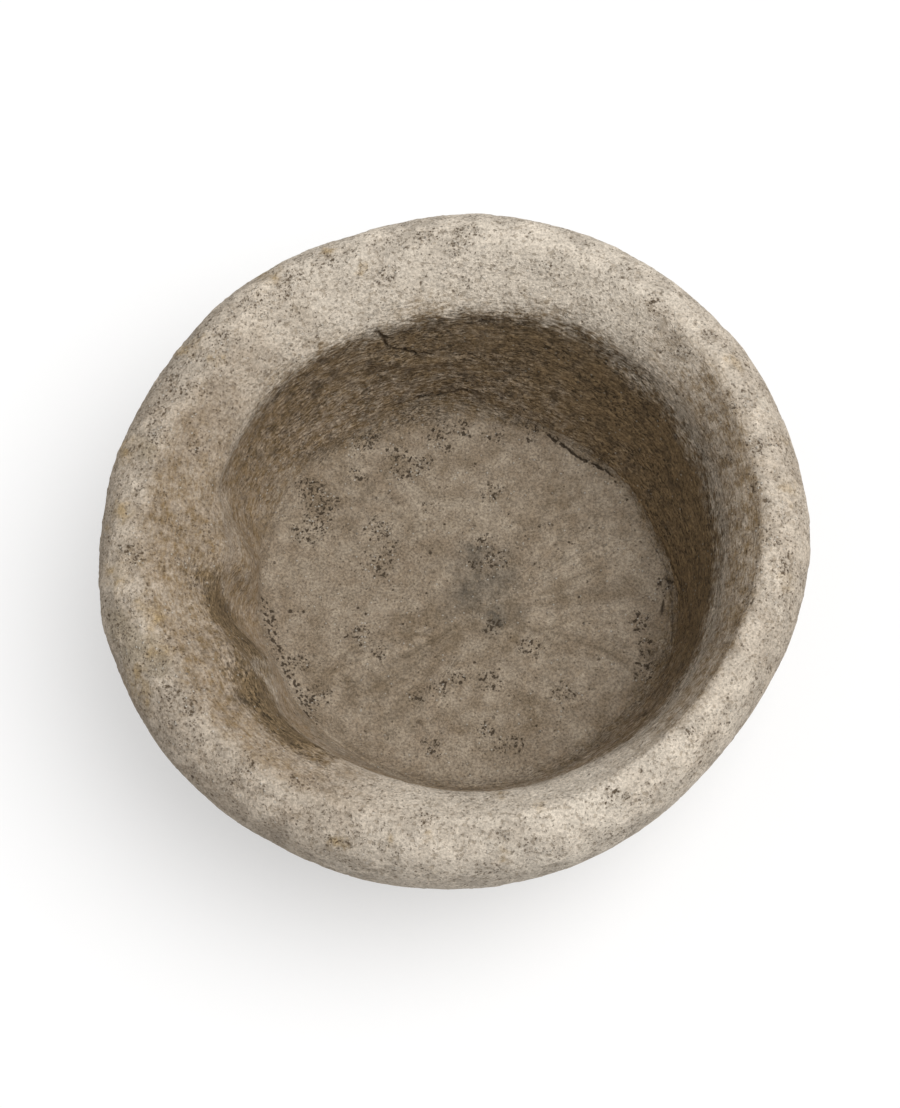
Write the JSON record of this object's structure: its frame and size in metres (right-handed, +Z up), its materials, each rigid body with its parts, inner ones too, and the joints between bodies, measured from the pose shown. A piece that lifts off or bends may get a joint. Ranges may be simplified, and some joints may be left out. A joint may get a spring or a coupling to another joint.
{
  "type": "stone planter bowl",
  "caption": "Round hand-laid stone bowl planter with a thick rolled rim, an uneven inner wall and a separate mortar floor bed, standing on a flat ground foot.",
  "frame": {"origin": "middle of the flat foot, on the ground, under the axis of the rim", "axes": "+Z up, +X to the bowl's right and +Y to its back as pictured"},
  "size_m": [0.5302, 0.5282, 0.19],
  "materials": {
    "laid_stone": "coarse, dry, weathered",
    "floor_mortar": "trowelled, dry, pitted"
  },
  "bodies": {
    "root": {"bowl_body": "laid_stone", "floor_bed": "floor_mortar"}
  },
  "joints": []
}
